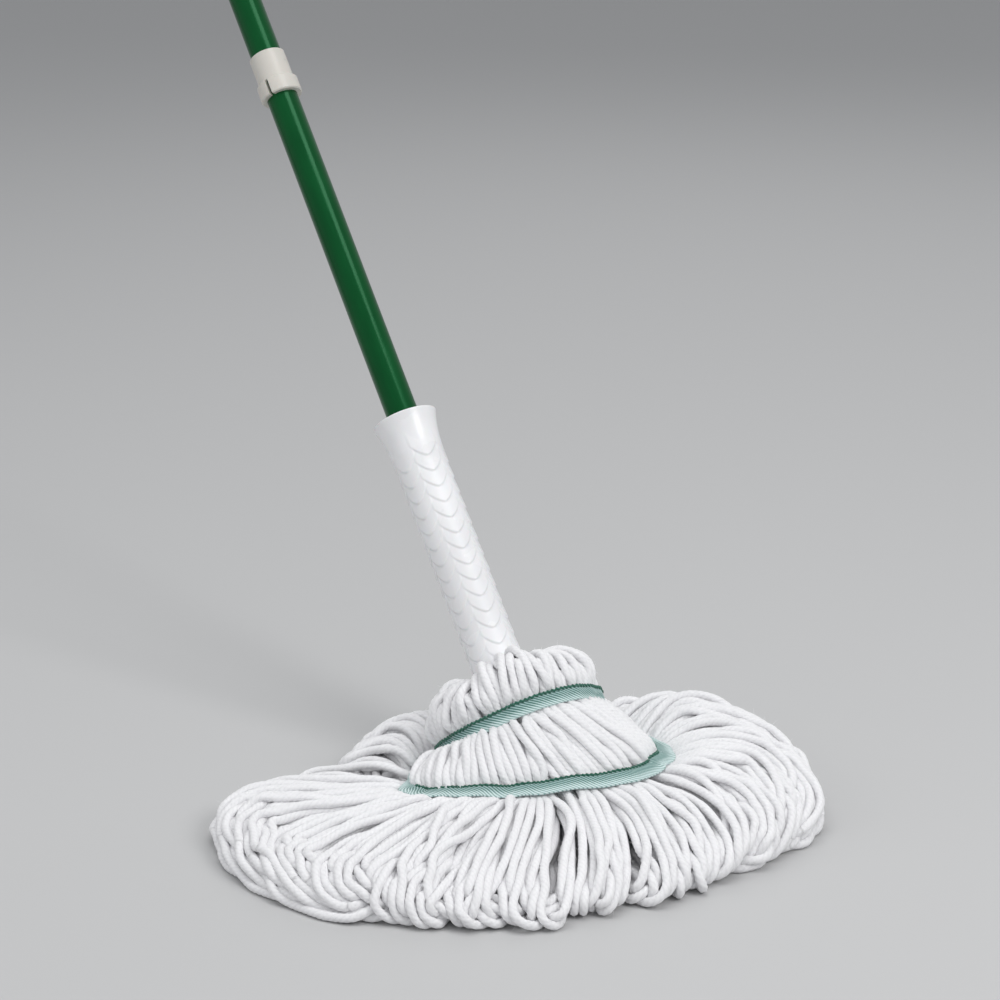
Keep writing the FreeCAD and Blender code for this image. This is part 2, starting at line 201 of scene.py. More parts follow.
# Round the pole, with heights measured along it.
SLEEVE_CLEAR = 18.6              # radius that the yarn keeps outside of, round the sleeve
HUB_CLEAR = 18.0                 # and round the hub
SLEEVE_FROM = 60.0
HUB_FROM = 24.0
HUB_UP = 43.0                    # where yarn is tied to the hub
PILE_UP = 10.0                   # where the rest of it stops, hidden in the pile
PILE_R = 50.0

# The ruff, and the upper tape round its foot.
UPPER_TAPE_UP = 57.5
RUFF_SKIN = 56.0                 # outside of the yarn under the upper tape
RUFF_WAIST = 67.0                # the ruff's folds stand above this
RUFF_TOP = 93.5
RUFF_BORE = 23.0                 # radius at which its inner ends stand
RUFF_NEST = 4.6                  # from one fold to the next one inside it
RUFF_GAP = math.radians(-152)    # where the ruff parts and shows the sleeve
RUFF_GAP_WIDE = 0.3              # in radians, to either side
RUFF_TURN = 0.08                 # a strand's turn round the pole between the tapes, in radians
RUFF_SQUEEZE = 0.38              # how much closer the strands lie at the upper tape's front

# How many strands deep a strand of each layer lies under the upper tape, for three in a row.
DEEP = [[0, 0, 1], [1, 2, 2], [3, 3, 4]]

# The plane of the lower tape: its height, then its rise to the right and to the back.
TAPE_PLANE = (28.0, 0.085, -0.15)

# Each guide: strands up to the next guide, how sharply the yarn parts there, the place on the
# lower tape, then points out over the floor to the turn, and back. x right, y back, z up.
GUIDES = [
    (17, 1, (-88, -18), (-128, -32, 21), (-168, -26, 22), (-206, -18, 15), (-198, -84, 5), (-120, -132, 4)),
    (18, 1, (-92, -40), (-136, -48, 24), (-174, -46, 24), (-202, -54, 14), (-176, -116, 5), (-104, -148, 4)),
    (18, 1, (-80, -52), (-122, -70, 27), (-152, -84, 25), (-176, -104, 13), (-146, -140, 4), (-70, -150, 3)),
    (18, 1, (-58, -57), (-86, -92, 31), (-112, -126, 25), (-132, -156, 10), (-106, -162, 3), (-58, -92, 3)),
    (18, 1, (-30, -60), (-44, -98, 34), (-62, -142, 25), (-78, -183, 10), (-60, -174, 3), (-34, -92, 3)),
    (13, 2, (-8, -60), (-4, -100, 34), (-12, -144, 25), (-20, -182, 10), (-8, -172, 3), (0, -92, 3)),
    (18, 1, (18, -57), (32, -96, 34), (34, -136, 25), (34, -168, 10), (22, -158, 3), (22, -88, 3)),
    (14, 2.5, (48, -46), (70, -80, 35), (84, -110, 26), (90, -136, 11), (76, -130, 3), (44, -76, 3)),
    (18, 1, (65, -27), (98, -48, 38), (118, -68, 30), (126, -94, 12), (108, -100, 4), (58, -62, 3)),
    (19, 1, (75, -5), (112, -12, 42), (140, -26, 34), (150, -56, 16), (126, -78, 5), (68, -52, 4)),
    (19, 1, (69, 25), (112, 26, 44), (150, 8, 34), (166, -30, 16), (140, -66, 5), (74, -46, 4)),
    (20, 1, (60, 50), (96, 82, 42), (144, 54, 34), (168, -4, 16), (150, -56, 5), (76, -40, 4)),
    (16, 1, (40, 82), (76, 112, 34), (110, 104, 27), (138, 84, 12), (118, 72, 4), (60, 40, 4)),
    (15, 1, (4, 106), (10, 124, 22), (16, 136, 16), (20, 142, 9), (10, 132, 3), (4, 80, 3)),
    (16, 1, (-46, 100), (-62, 106, 24), (-78, 106, 18), (-92, 98, 9), (-84, 90, 3), (-48, 66, 3)),
    (16, 1, (-72, 66), (-88, 78, 32), (-106, 80, 26), (-122, 72, 12), (-112, 60, 4), (-60, 44, 3)),
    (12, 4, (-84, 20), (-100, 38, 32), (-116, 50, 25), (-130, 48, 11), (-120, 38, 4), (-62, 20, 3)),
]
FRONT_GUIDE = 5                  # the guide that faces the front
TIDY_GUIDES = 3                  # the left-hand lobe, between the first guides, lies tidier
TIDY = 0.45                      # as a share of the disorder elsewhere
GATHER = 0.3                     # how far strands over the floor are drawn into groups
GROUP = (9, 19)                  # strands in a group, from the first and below the second


def spread(guides):
    """Every strand's own control points, from the guides on either side of it."""
    strands = []
    base, rise_x, rise_y = TAPE_PLANE
    for number, guide in enumerate(guides):
        following = guides[(number + 1) % len(guides)]
        count, parting = guide[0], guide[1]
        for index in range(count):
            share = index / count
            share = share ** parting / (share ** parting + (1 - share) ** parting)
            x, y = np.array(guide[2]) * (1 - share) + np.array(following[2]) * share
            share = min(1.0, max(0.0, share + rng.normal(0, 0.8) / count))
            floor = np.array(guide[3:], float) * (1 - share) + np.array(following[3:], float) * share
            start = [x, y, base + rise_x * x + rise_y * y]
            strands.append((number + index / count, np.vstack([start, floor])))
    return strands


def gather(strands):
    """Draw the upper strands together over the floor in small groups, with gaps between them."""
    first = 0
    while first < len(strands):
        group = strands[first:first + rng.integers(*GROUP)]
        centre = sum(control for place, control in group) / len(group)
        for number, (place, control) in enumerate(group, first):
            if number % LAYERS < LAYERS - 1:
                control[1:4] += (centre[1:4] - control[1:4]) * GATHER
        first += len(group)


def disturb(control, layer, loose):
    """Give one strand's control points its own reach, depth and wander."""
    reach = 1 - loose * min(0.2, abs(rng.normal(0, 0.06)) + 0.015 * layer)
    control[1:5] = control[0] + (control[1:5] - control[0]) * np.array([reach, reach, 1])
    control[1:, 2] -= layer * LAYER * np.array([0.7, 0.4, 0.15, 0, 0])
    control[1:4, :2] += rng.normal(0, loose, (3, 2)) * np.array([[2.0], [3.4], [4.0]])
    control[1:3, 2] += rng.normal(0, 1.5, 2)
    control[4:, :2] += rng.normal(0, 4, (2, 2))
    control[:, 2] = np.maximum(control[:, 2], FLOOR_CLEAR)


def ruff_arch(angle, deep):
    """From inside the ruff up over its top and down to the upper tape, in metres."""
    skin = RUFF_SKIN - YARN_R - LAYER * deep
    belly = skin + 4 - deep + rng.normal(0, 1.8)
    away = math.remainder(angle - RUFF_GAP, 2 * math.pi)
    parted = math.exp(-(away / RUFF_GAP_WIDE) ** 2)
    uneven = rng.normal(0, 3.4) + 2.5 * math.sin(5 * angle)
    rise = max(8, RUFF_TOP - YARN_R - RUFF_NEST * deep + uneven - 9 * parted - RUFF_WAIST)
    inner = RUFF_BORE + 2 * deep + 5 * parted
    lean = rng.normal(0, 0.16)
    profile = [(inner, 0.5), (inner + 1, 0.7), (inner + 8, 1), ((inner + belly) / 2 + 5, 1),
               (belly - 3, 0.65), (belly, 0.25), (skin + 2, 0)]
    profile = [(radius, RUFF_WAIST + share * rise) for radius, share in profile]
    profile.append((skin, UPPER_TAPE_UP))
    slants = np.linspace(lean, 0, len(profile))
    return np.array([round_pole(radius, angle + slant, up)
                     for (radius, up), slant in zip(profile, slants)])


def bulge(start, end, layer):
    """Three points from the upper tape to the lower one, a little proud of the straight line."""
    middle = (start + end) / 2
    outward = unit(middle - POLE * (middle @ POLE))
    return np.array([start, middle + outward * (1 - 1.5 * layer + rng.normal(0, 1.5)) * MM, end])


def hub_end(last, layer):
    """Where a strand ends: tied at the hub if it lies lowest, and else in the pile near it."""
    tied = layer == LAYERS - 1
    axis = POLE * (HUB_UP if tied else PILE_UP) * MM
    away = last - axis
    away = unit(away - POLE * (away @ POLE))
    return axis + away * (HUB_CLEAR + YARN_R if tied else PILE_R) * MM


def make_strands():
    """Paths in metres, with the index of the point under each tape and of the turn."""
    spread_strands = spread(GUIDES)
    gather(spread_strands)
    total = len(spread_strands)
    facing = sum(guide[0] for guide in GUIDES[:FRONT_GUIDE]) / total
    front_angle = math.atan2(-math.cos(HEAD_TURN) * BEHIND[1], math.sin(HEAD_TURN))
    strands = []
    for number, (place, control) in enumerate(spread_strands):
        layer = number % LAYERS
        deep = DEEP[layer][number // LAYERS % len(DEEP[layer])]
        angle = 2 * math.pi * (number / total - facing) + RUFF_TURN
        angle += front_angle - RUFF_SQUEEZE * math.sin(angle) + rng.normal(0, 0.03)
        disturb(control, layer, TIDY if place < TIDY_GUIDES else 1.0)
        out = head(control[:, 0], control[:, 1], control[:, 2])
        arch = ruff_arch(angle, deep)

        # Under the lower tape the strand runs along the yarn's skin, one layer in for each layer.
        beside = spread_strands[(number + 1) % total][1][0]
        flatter = 1 + (control[0, 0] / 80) ** 2
        run = unit(unit(out[0] - arch[-1]) + flatter * unit(out[1] - out[0]))
        skin = unit(np.cross(head(*beside) - out[0], run))
        out[0] -= skin * math.copysign(layer * 0.9 * LAYER * MM, skin[2])

        top = smooth_path(arch, STEP * MM)
        middle = smooth_path(bulge(arch[-1], out[0], layer), STEP * MM)
        floor = smooth_path(np.vstack([out, hub_end(out[-1], layer)]), STEP * MM)
        for pinned in (1, 2):
            middle[-1 - pinned] = out[0] - run * pinned * STEP * MM
            floor[pinned] = out[0] + run * pinned * STEP * MM
        turn = np.argmin(np.linalg.norm(floor - out[3], axis=1))
        path = np.vstack([top, middle[1:], floor[1:]])
        marks = np.cumsum([len(top) - 1, len(middle) - 1, turn])
        strands.append({"path": path, "marks": marks, "layer": layer, "deep": deep, "place": place})
    return strands


# ---------------------------------------------------------------- strands pushed apart

SETTLE_ROUNDS = 100
APART = 2 * YARN_R * MM * 0.95   # strands are pushed apart while their middles are closer
SEARCH = APART * 1.35            # how far the solver looks for neighbours
SEARCH_EVERY = 3                 # rounds
HOLD = 0.02                      # how strongly a point is held where it was drawn
SMOOTH = 0.25                    # how strongly a sharp bend is eased
NEXT_POINTS = 3                  # points this near along a strand don't push each other


def near_pairs(points, reach):
    """Index pairs of points closer than reach, by a grid of cells."""
    cells = np.floor(points / reach).astype(np.int64)
    cells -= cells.min(0) - 1
    size = cells.max(0) + 3
    keys = (cells[:, 0] * size[1] + cells[:, 1]) * size[2] + cells[:, 2]
    order = np.argsort(keys, kind="stable")
    ordered = keys[order]
    found = []
    for dx in (-1, 0, 1):
        for dy in (-1, 0, 1):
            for dz in (-1, 0, 1):
                shift = (dx * size[1] + dy) * size[2] + dz
                if shift < 0:
                    continue
                low = np.searchsorted(ordered, keys + shift, "left")
                high = np.searchsorted(ordered, keys + shift, "right")
                counts = high - low
                first = np.repeat(np.arange(len(points)), counts)
                offset = np.arange(counts.sum()) - np.repeat(np.cumsum(counts) - counts, counts)
                second = order[np.repeat(low, counts) + offset]
                keep = first < second if shift == 0 else first != second
                found.append(np.stack([first[keep], second[keep]], 1))
    pairs = np.vstack(found)
    gaps = np.linalg.norm(points[pairs[:, 0]] - points[pairs[:, 1]], axis=1)
    return pairs[gaps < reach]


def settle(strands):
    """Push the strands apart until they lie side by side, on the floor and clear of the hub."""
    points = np.vstack([strand["path"] for strand in strands])
    counts = [len(strand["path"]) for strand in strands]
    starts = np.concatenate([[0], np.cumsum(counts)])
    owner = np.repeat(np.arange(len(strands)), counts)
    index = np.arange(len(points)) - starts[owner]
    free = np.ones(len(points))              # 0 for the points that the tapes hold
    for number, strand in enumerate(strands):
        for mark in strand["marks"][:2]:
            free[starts[number] + mark - 2:starts[number] + mark + 3] = 0.0
    drawn = points.copy()
    link = np.flatnonzero(owner[1:] == owner[:-1])
    rest = np.linalg.norm(points[link + 1] - points[link], axis=1)
    inner = np.flatnonzero((index > 0) & (np.append(owner[1:], -1) == owner))
    for number in range(SETTLE_ROUNDS):
        if number % SEARCH_EVERY == 0:
            pairs = near_pairs(points, SEARCH)
            a, b = pairs[:, 0], pairs[:, 1]
            keep = (owner[a] != owner[b]) | (np.abs(index[a] - index[b]) > NEXT_POINTS)
            a, b = a[keep], b[keep]
        points += (drawn - points) * HOLD * free[:, None]
        middle = (points[inner - 1] + points[inner + 1]) / 2
        points[inner] += (middle - points[inner]) * SMOOTH * free[inner, None]
        for repeat in range(2):
            push(points, a, b, free)
            stretch(points, link, rest, free)
        keep_clear(points)
    push(points, a, b, free)
    keep_clear(points)
    for number, strand in enumerate(strands):
        strand["path"] = points[starts[number]:starts[number + 1]]


def push(points, a, b, free):
    """Move the pairs of points a and b apart where they are too close."""
    gap = points[b] - points[a]
    length = np.linalg.norm(gap, axis=1) + 1e-9
    close = length < APART
    first, second = a[close], b[close]
    shift = (gap[close] / length[close, None]) * ((APART - length[close]) * 0.4)[:, None]
    move = np.zeros_like(points)
    hits = np.zeros(len(points))
    np.add.at(move, first, -shift)
    np.add.at(move, second, shift)
    np.add.at(hits, first, 1)
    np.add.at(hits, second, 1)
    points += move * (free / np.maximum(1, hits ** 0.5))[:, None]


def stretch(points, link, rest, free):
    """Bring each link of a strand back towards its own length."""
    gap = points[link + 1] - points[link]
    length = np.linalg.norm(gap, axis=1) + 1e-9
    shift = gap * ((length - rest) / length * 0.25)[:, None]
    np.add.at(points, link, shift * free[link, None])
    np.add.at(points, link + 1, -shift * free[link + 1, None])


def keep_clear(points):
    """Above the floor, and outside the sleeve and the hub."""
    np.maximum(points[:, 2], FLOOR_CLEAR * MM, out=points[:, 2])
    up = points @ POLE
    away = points - up[:, None] * POLE
    radius = np.linalg.norm(away, axis=1) + 1e-9
    room = np.where(up > SLEEVE_FROM * MM, SLEEVE_CLEAR, HUB_CLEAR) * MM + YARN_R * MM
    inside = (radius < room) & (up > HUB_FROM * MM)
    points[inside] += away[inside] * ((room[inside] - radius[inside]) / radius[inside])[:, None]


# ---------------------------------------------------------------- strand meshes

PLIES = 4
SIDES = 3 * PLIES
PLY_PITCH = 15.0                 # length of one full twist, in mm
# CREST is 1 on the plies' crests and 0 in the valleys, where the yarn material paints shade.
CREST = np.where(np.arange(SIDES) % 3 == 0, 0.0, 1.0)    # 0 in the valleys between the plies
RING_STEP = 1.6                  # between the rings of a strand
FIBRE_R = 0.11                   # a loose fibre's radius near its root
FIBRE_EVERY = 1.9                # mm of yarn for each of them
FIBRE_RINGS = 4
FIBRE_SIDES = 3
TUCK = 7                         # points past its turn, out of sight, where a strand is cut in two
SECTORS = 10                     # pieces of middle, skirt and returning yarn round the head
RUFF_PIECES = 3


def frames_along(path):
    """Two directions square to each point of a path, which turn as little as they can."""
    ways = unit(np.gradient(path, axis=0))
    side = np.cross(ways[0], [0.31, 0.42, 0.85])    # any direction that no strand starts along
    sides = np.empty_like(path)
    for row, way in enumerate(ways):
        side = side - way * (side @ way)
        side = side / math.sqrt(side @ side)
        sides[row] = side
    return sides, np.cross(ways, sides)


def strand_tube(path, phase, size):
    """Rings of a plied yarn round a path, a little thicker and thinner along it."""
    sides, others = frames_along(path)
    along = np.concatenate([[0], np.cumsum(np.linalg.norm(np.diff(path, axis=0), axis=1))])
    twist = phase - along / (PLY_PITCH * MM) * 2 * math.pi
    corner = np.arange(SIDES) * 2 * math.pi / SIDES
    slub = 1 + 0.06 * np.sin(along / (13 * MM) + 5 * phase) * np.sin(along / (5.3 * MM) + phase)
    radius = size * MM * (0.91 + 0.09 * CREST) * slub[:, None]
    radius = radius * rng.normal(1, 0.015, radius.shape)
    angle = twist[:, None] + corner
    return (path[:, None] + sides[:, None] * (np.cos(angle) * radius)[..., None]
            + others[:, None] * (np.sin(angle) * radius)[..., None])


def fibres(path, size, first):
    """Short loose fibres that stand out of a run of yarn, and the faces of each."""
    count = int(len(path) * RING_STEP / FIBRE_EVERY)
    picks = rng.integers(0, len(path) - 1, count)
    run = unit(path[picks + 1] - path[picks])
    out = unit(np.cross(run, rng.normal(size=(count, 3))))
    way = unit(out * 0.7 + run * rng.uniform(-1, 1, (count, 1)) + rng.normal(0, 0.25, (count, 3)))
    curl = rng.normal(0, 0.3, (count, 3))
    length = rng.uniform(1.5, 4.5, (count, 1)) * MM
    side = unit(np.cross(way, run + 0.3 * out))
    other = np.cross(way, side)
    rings = []
    for share in np.linspace(0, 1, FIBRE_RINGS):
        centre = path[picks] + out * size * 0.8 * MM + (way + curl * share) * length * share
        thick = FIBRE_R * (1.1 - share) * MM
        for corner in range(FIBRE_SIDES):
            turn = corner * 2 * math.pi / FIBRE_SIDES
            rings.append(centre + (side * math.cos(turn) + other * math.sin(turn)) * thick)
    points = np.stack(rings, 1).reshape(-1, 3)
    points[:, 2] = np.maximum(points[:, 2], 0.1 * MM)
    quads, ends = tube_faces(FIBRE_RINGS, FIBRE_SIDES)
    base = first + np.arange(count)[:, None, None] * FIBRE_RINGS * FIBRE_SIDES
    return points, (quads + base).reshape(-1, 4), (ends + base).reshape(-1, 3)


def yarn_piece(name, runs, size=YARN_R, fuzzy=True):
    """One object from several runs of yarn, each a path and the rings round it."""
    points, crests, quads, caps, tips = [], [], [], [], []
    first = 0
    for path, rings in runs:
        new_quads, new_caps = tube_faces(len(path), SIDES)
        points.append(rings.reshape(-1, 3))
        crests.append(np.tile(CREST, len(path)))
        quads.append(new_quads + first)
        caps.append(new_caps + first)
        first += len(points[-1])
        if fuzzy:
            hairs, hair_quads, hair_tips = fibres(path, size, first)
            points.append(hairs)
            crests.append(np.ones(len(hairs)))
            quads.append(hair_quads)
            tips.append(hair_tips)
            first += len(hairs)
    faces = [np.vstack(quads), np.vstack(caps)] + ([np.vstack(tips)] if fuzzy else [])
    obj = mesh_from_arrays(name, np.vstack(points), faces, {"crest": np.concatenate(crests)})
    obj.data.materials.append(YARN)
    return obj


def build_strands():
    strands = make_strands()
    settle(strands)
    for strand in strands:
        strand["fine"] = even_steps(curve(strand["path"], 4, near_points), RING_STEP * MM)
        strand["rings"] = strand_tube(strand["fine"], rng.uniform(0, 6.28), YARN_R)
    return strands


def cut_run(strand, first, last):
    """The fine path and the rings of one stretch of a strand."""
    scale = (len(strand["fine"]) - 1) / (len(strand["path"]) - 1)
    low, high = round(first * scale), round(last * scale)
    return strand["fine"][low:high + 1], strand["rings"][low:high + 1]


def marked(strands, number, offset=0):
    """Where each strand passes one of its marks, or a few points past it."""
    return np.array([strand["path"][strand["marks"][number] + offset] for strand in strands])


def stretch_between(piece, starts, ends):
    """Bake the piece's placement into its mesh. The line from starts to ends and its middle are worked out,
    but nothing uses them.
    """
    way = unit(ends.mean(0) - starts.mean(0))
    middle = (starts.mean(0) + ends.mean(0)) / 2
    middle = middle - way * (middle @ way)
    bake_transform(piece)


def ruff_yarn(strands):
    """The folds that stand up round the sleeve's foot. The innermost ones are hidden and left out."""
    outer = [strand for strand in strands if strand["deep"] < 3]
    for part in range(RUFF_PIECES):
        mine = outer[len(outer) * part // RUFF_PIECES:len(outer) * (part + 1) // RUFF_PIECES]
        piece = yarn_piece(f"ruff_yarn_{part}", [cut_run(strand, 0, strand["marks"][0]) for strand in mine])
        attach(piece, "sleeve")
        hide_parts("yarn_ruff")


def sectors(strands):
    whole = len(GUIDES)
    return [[strand for strand in strands if int(strand["place"] / whole * SECTORS) == sector]
            for sector in range(SECTORS)]


def middle_yarn(strands):
    """From the upper tape, which turns with the sleeve, to the lower one, which only slides."""
    for sector, mine in enumerate(sectors(strands)):
        runs = [cut_run(strand, strand["marks"][0], strand["marks"][1]) for strand in mine]
        piece = yarn_piece(f"middle_yarn_{sector}", runs)
        stretch_between(piece, marked(mine, 1), marked(mine, 0))
        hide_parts("yarn_middle")


def skirt_yarn(strands):
    """From the lower tape out over the floor to the turn, and back under it to the hub."""
    for sector, mine in enumerate(sectors(strands)):
        runs = [cut_run(strand, strand["marks"][1], strand["marks"][2] + TUCK) for strand in mine]
        skirt = yarn_piece(f"skirt_yarn_{sector}", runs)
        stretch_between(skirt, marked(mine, 2), marked(mine, 1))
        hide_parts("yarn_skirt")
        runs = [cut_run(strand, strand["marks"][2] + TUCK, len(strand["path"]) - 1) for strand in mine]
        under = yarn_piece(f"under_yarn_{sector}", runs, fuzzy=False)
        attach(under, "handle")
        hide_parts("yarn_skirt")


def yarn_bundle(name, body, node, size, radius, bottom, top):
    """Yarn ends packed upright round a bobbin, side by side."""
    count = int(2 * math.pi * radius / (1.95 * size))
    ups = np.arange(bottom + size / 2, top - size / 2, RING_STEP)
    runs = []
    for number in range(count):
        angle = 2 * math.pi * number / count + rng.normal(0, 0.01, len(ups))
        path = round_pole(radius, angle, ups)
        runs.append((path, strand_tube(path, rng.uniform(0, 6.28), size)))
    piece = yarn_piece(name, runs, size, fuzzy=False)
    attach(piece, body)
    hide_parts(node)


# ---------------------------------------------------------------- tapes

UPPER_TAPE_WIDE = 10.0
LOWER_TAPE_WIDE = 13.0
TAPE_STEP = 0.45                 # along a tape
TAPE_THICK = 1.1
TAPE_LIFT = 0.9 + TAPE_THICK / 2    # from the yarn's skin to the middle of a tape
TWILL_PITCH = 2.8                # between the tape's slanting ribs
TWILL_SLANT = 1.1
RIB = 0.26                       # half the height of a rib
CUP = 0.006                      # how much the tape's edges curl in, per mm squared
STITCH_PITCH = 3.2
STITCH_INSET = 0.9               # from the tape's upper edge


def lower_tape_line(strands):
    """Points round the skin of the yarn, which way is up along it there, and which way is out."""
    outer = [strand for strand in strands if strand["layer"] == 0]
    places = marked(outer, 1)
    ups = around(unit(marked(outer, 1, -1) - marked(outer, 1, 1)), 3)
    along = np.roll(places, -1, 0) - np.roll(places, 1, 0)
    outs = unit(np.cross(along, ups))
    outs *= np.sign((outs * (places - places.mean(0))).sum(1) + outs[:, 2] * 0.05)[:, None]
    outs = around(outs, 3)
    skin = around(places, 1) + outs * (YARN_R + TAPE_LIFT) * MM
    turn = np.arange(len(outer)) * 2 * math.pi / len(outer)
    skin += ups * ((1.1 * np.sin(6 * turn + 1) + 0.7 * np.sin(15 * turn)) * MM)[:, None]
    ups = unit(ups + outs * (0.16 * np.sin(9 * turn + 2))[:, None])
    centre = closed_line(skin, TAPE_STEP * MM)
    return centre, resample_loop(ups, len(centre)), resample_loop(outs, len(centre))


def upper_tape_line():
    """The same for the upper tape, which is nearly a circle round the pole."""
    radius = RUFF_SKIN + TAPE_LIFT
    count = int(2 * math.pi * radius / TAPE_STEP)
    angle = np.arange(count) * 2 * math.pi / count
    wander = 0.35 * np.sin(23 * angle) + 0.3 * np.sin(9 * angle + 1)
    centre = round_pole(radius + wander, angle, UPPER_TAPE_UP + 0.8 * np.sin(3 * angle))
    outs = ACROSS * np.cos(angle)[:, None] + BEHIND * np.sin(angle)[:, None]
    return centre, np.tile(POLE, (count, 1)), outs


def dots(first, second):
    return (first * second).sum(1)[:, None]


def tape(name, body, node, line, width):
    """A closed band of twill tape, with a row of stitches along its upper edge."""
    centre, ups, outs = line
    runs = unit(np.roll(centre, -1, 0) - centre)
    outs = unit(outs - runs * dots(outs, runs))
    ups = unit(ups - outs * dots(ups, outs) - runs * dots(ups, runs))
    along = np.arange(len(centre))[:, None] * TAPE_STEP
    across = np.linspace(-width / 2, width / 2, int(width / 0.7))[None]
    ribs = RIB * np.sin(2 * math.pi * (along + TWILL_SLANT * across) / TWILL_PITCH)
    cupped = -CUP * across ** 2
    face = centre[:, None] + ups[:, None] * across[..., None] * MM
    front = face + outs[:, None] * ((TAPE_THICK / 2 + ribs + cupped) * MM)[..., None]
    back = face + outs[:, None] * ((cupped - TAPE_THICK / 2) * MM)[..., None]
    there_and_back = np.concatenate([across, across[:, ::-1]], 1) * LOWER_TAPE_WIDE / width
    fields = {"along": np.tile(along, (1, there_and_back.shape[1])),
              "across": np.tile(there_and_back, (len(centre), 1))}
    band = loop_grid(name, np.concatenate([front, back[:, ::-1]], 1), fields)
    band.data.materials.append(TAPE)
    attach(band, body)
    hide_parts(node)
    thread = stitches(name + "_stitches", body, centre, ups, outs, width / 2 - STITCH_INSET)


def stitches(name, body, centre, ups, outs, across):
    """A dark overlock thread that zigzags along the tape, in beads."""
    turn = np.arange(len(centre)) * TAPE_STEP / STITCH_PITCH * math.pi
    path = (centre + ups * ((across + 0.5 * np.sin(2 * turn)) * MM)[:, None]
            + outs * ((TAPE_THICK / 2 + 0.1) * MM))
    size = (0.6 + 0.4 * np.abs(np.sin(turn))) * MM
    corner = np.arange(8) * math.pi / 4
    points = (path[:, None] + ups[:, None] * (np.cos(corner) * size[:, None])[..., None]
              + outs[:, None] * (np.sin(corner) * size[:, None])[..., None])
    thread = loop_grid(name, points)
    thread.data.materials.append(THREAD)
    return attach(thread, body)


# ---------------------------------------------------------------- sleeve
# Heights are along the pole, in mm.

SLEEVE_FOOT, SLEEVE_RIM = 62.0, 285.0
SLEEVE_R = 18.0
SLEEVE_SKIN = 17.35              # between the scales
SLEEVE_SIDES = 216
SLEEVE_STEP = 0.55
SCALE_DEPTH = 0.85
SCALE_PITCH = 11.6
SCALE_COLUMNS = 6
SCALE_HALF = math.radians(34)    # half a scale's width
SCALE_FIRST = 250.5              # tip of the highest scale
SCALE_TURN = math.radians(-101)
MOUTH_R = 22.6
MOUTH_LENGTH = 32.0
MOUTH_WALL = 1.8
MOUTH_FLOOR = 262.0              # where the trumpet's inside meets the straight bore

# Radius and height down the inside: the bore, the two ribs that the bushes bear on, and the foot.
BORE = [(16.0, MOUTH_FLOOR), (16.0, 238), (13.3, 237.6), (13.3, 235.8), (16.0, 235.5),
        (16.0, 86), (13.3, 85.6), (13.3, 83.5), (16.0, 83.2), (16.0, SLEEVE_FOOT), (17.0, SLEEVE_FOOT)]


def scale_relief(angle, up):
    """How far the overlapping scales stand above the sleeve's skin."""
    relief = np.zeros(np.broadcast(angle, up).shape)
    for column in range(SCALE_COLUMNS):
        middle = SCALE_TURN + column * 2 * math.pi / SCALE_COLUMNS
        away = (np.remainder(angle - middle + math.pi, 2 * math.pi) - math.pi) / SCALE_HALF
        lip = 0.85 * SCALE_PITCH * np.abs(away) ** 1.6 + SCALE_FIRST - (column % 2) * SCALE_PITCH / 2
        above = (up - lip) / SCALE_PITCH
        share = np.where(above < 1, np.remainder(above, 1), 1)
        thick = (1 - share) * np.clip(share / 0.09, 0, 1)
        edge = np.clip((1 - np.abs(away)) / 0.12, 0, 1)
        relief = np.maximum(relief, thick * edge * (1 - 0.4 * away ** 2) * (np.abs(away) < 1))
    return relief * SCALE_DEPTH


def mouth_radius(up):
    """Outer radius of the trumpet mouth at a height along the pole."""
    share = np.clip((up - SLEEVE_RIM) / MOUTH_LENGTH + 1, 0, 1)
    return SLEEVE_R + (MOUTH_R - SLEEVE_R) * share ** 2.4


def wringer_sleeve():
    """The flared sleeve, with rows of U-shaped scales round its grip."""
    angle = np.linspace(0, 2 * math.pi, SLEEVE_SIDES, endpoint=False)[None]
    up = np.arange(SLEEVE_FOOT, SLEEVE_RIM - 0.6, SLEEVE_STEP)[:, None]
    skin = mouth_radius(up) - (SLEEVE_R - SLEEVE_SKIN) * np.clip((SCALE_FIRST + 8 - up) / 10, 0, 1)
    grip = round_pole(skin + scale_relief(angle, up), angle, up)
    lip = [(MOUTH_R - 0.2, SLEEVE_RIM - 0.1), (MOUTH_R - 0.8, SLEEVE_RIM), (MOUTH_R - 1.5, SLEEVE_RIM - 0.3)]
    inside = [(mouth_radius(height) - MOUTH_WALL, height)
              for height in np.arange(SLEEVE_RIM - 3, MOUTH_FLOOR, -3)]
    rest = np.array(lip + inside + BORE)
    plain = round_pole(rest[:, :1], angle, rest[:, 1:])
    sleeve = loop_grid("sleeve_shell", np.concatenate([grip, plain]))
    sleeve.data.materials.append(SLEEVE)
    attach(sleeve, "sleeve")
    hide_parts("wringer_sleeve")


# ---------------------------------------------------------------- materials


def material(name, colour, roughness):
    made = bpy.data.materials.new(name)
    made.use_nodes = True
    shader = made.node_tree.nodes["Principled BSDF"]
    adjust(shader, Base_Color=(*colour, 1), Roughness=roughness)
    return made, made.node_tree, shader


def adjust(shader, **values):
    """Set a shader's inputs by name, with _ for each space."""
    for name, value in values.items():
        shader.inputs[name.replace("_", " ")].default_value = value


def plug(tree, socket, value):
    """Set an input to a value, or link it to another node's output."""
    if isinstance(value, bpy.types.NodeSocket):
        tree.links.new(value, socket)
    else:
        socket.default_value = value


def node(tree, kind, settings=None, **inputs):
    """Add a node, set its settings, and set or link its inputs by name."""
    added = tree.nodes.new(kind)
    for name, value in (settings or {}).items():
        setattr(added, name, value)
    for name, value in inputs.items():
        plug(tree, added.inputs[name.replace("_", " ")], value)
    return added


def maths(tree, operation, *values):
    added = node(tree, "ShaderNodeMath", {"operation": operation})
    for socket, value in zip(added.inputs, values):
        plug(tree, socket, value)
    return added.outputs[0]


